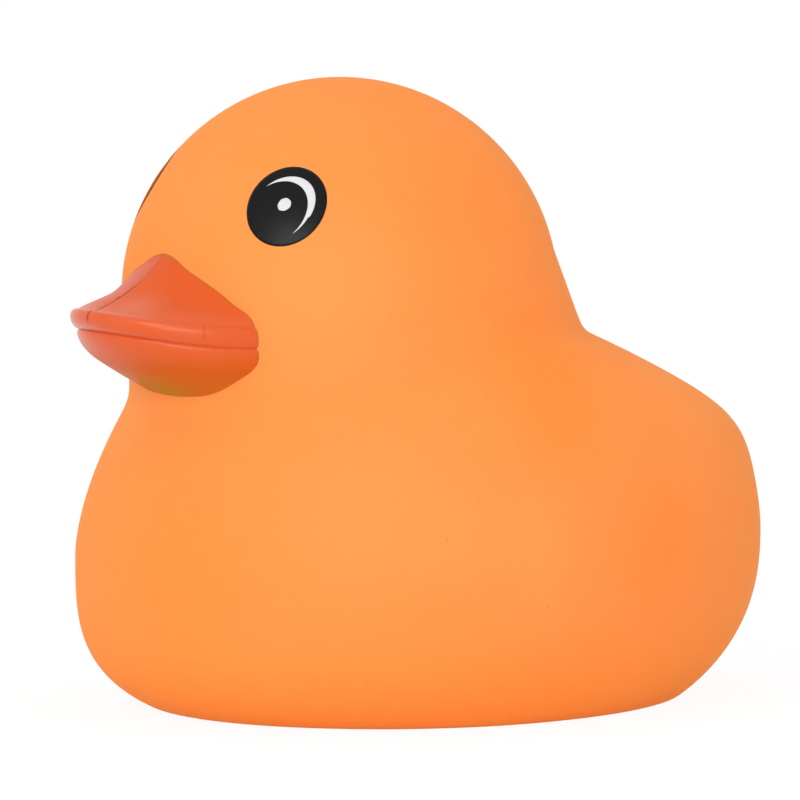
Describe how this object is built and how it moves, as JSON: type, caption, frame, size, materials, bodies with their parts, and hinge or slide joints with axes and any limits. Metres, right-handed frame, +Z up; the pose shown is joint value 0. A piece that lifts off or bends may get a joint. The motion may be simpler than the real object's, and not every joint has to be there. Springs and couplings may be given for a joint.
{
  "type": "squishy toy duck",
  "caption": "Soft moulded toy duck with a round ball head, a plump body that slopes to a blunt tail, a short broad painted bill and printed eyes; stands on a flat base.",
  "frame": {"origin": "on the flat base, in the middle plane, under the widest part of the body", "axes": "+Z up from the base, -Y the way the duck faces, +X its left side"},
  "size_m": [0.0686, 0.0878, 0.0722],
  "materials": {
    "soft_skin": "soft matte orange skin, moulded in one piece",
    "bill_paint": "satin red orange paint on the bill",
    "eye_black": "satin black print",
    "eye_white": "satin white print"
  },
  "bodies": {
    "root": {"duck": "soft_skin"}
  },
  "joints": []
}
